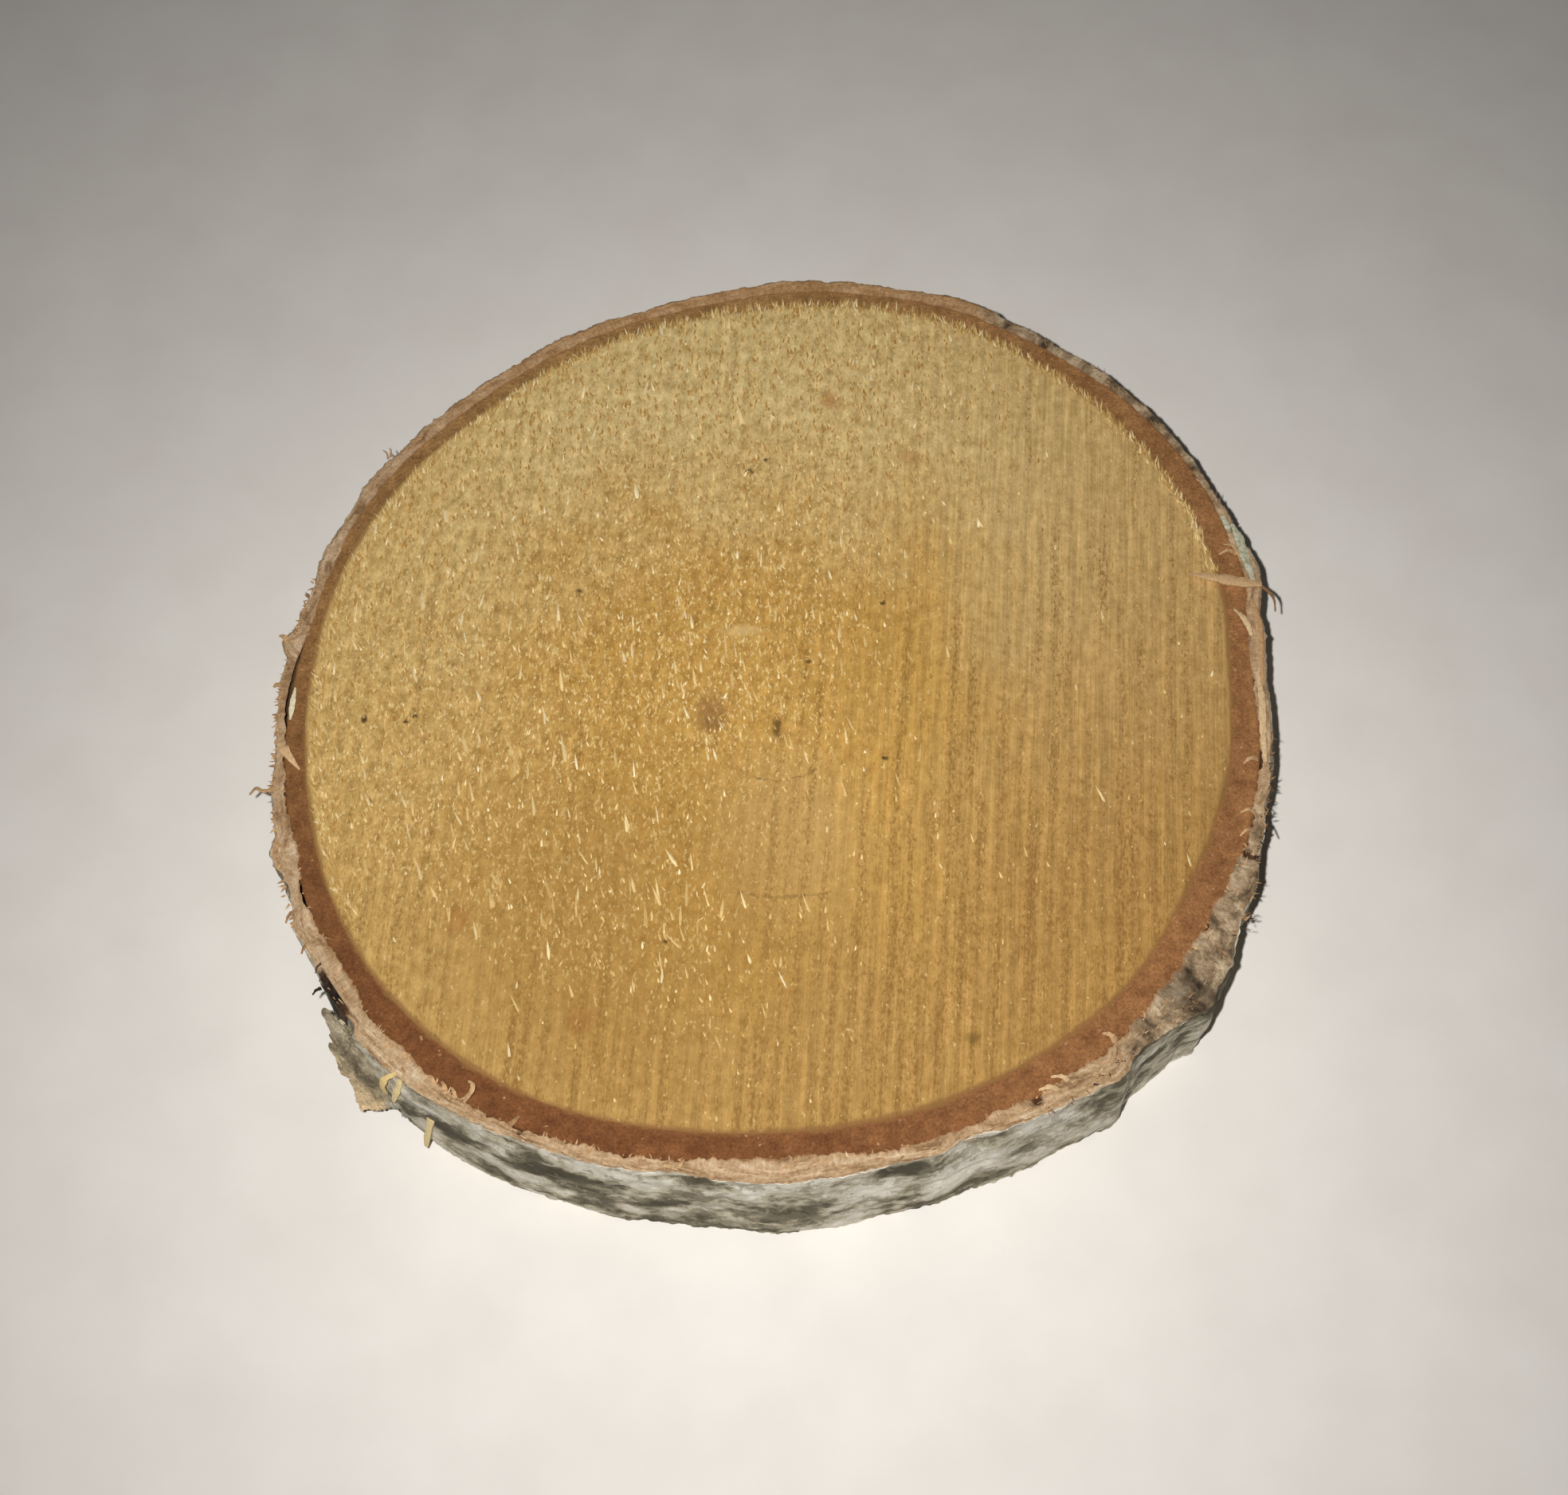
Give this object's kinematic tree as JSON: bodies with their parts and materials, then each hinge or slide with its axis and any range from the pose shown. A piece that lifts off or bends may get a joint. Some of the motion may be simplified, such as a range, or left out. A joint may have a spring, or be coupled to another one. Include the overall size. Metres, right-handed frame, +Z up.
{
  "type": "wood slice",
  "caption": "Round slice sawn across a branch: flat golden wood face with saw marks, brown inner bark ring and rough grey outer bark that peels at one side.",
  "frame": {"origin": "centre of the sawn underside, on the surface the slice lies on", "axes": "+Z up through the thickness; -Y towards the side with the widest bark, +X to the right as seen from there"},
  "size_m": [0.0963, 0.0969, 0.0123],
  "materials": {
    "wood": "raw sawn end grain with vertical saw marks and short cream fibres, no varnish",
    "inner_bark": "sawn inner bark, reddish brown, dull and fine grained",
    "outer_bark": "dry outer bark, tan where it is sawn, mottled white and grey-olive on its rough skin"
  },
  "bodies": {
    "root": {"wood": "wood", "inner_bark": "inner_bark", "outer_bark": "outer_bark"}
  },
  "joints": []
}
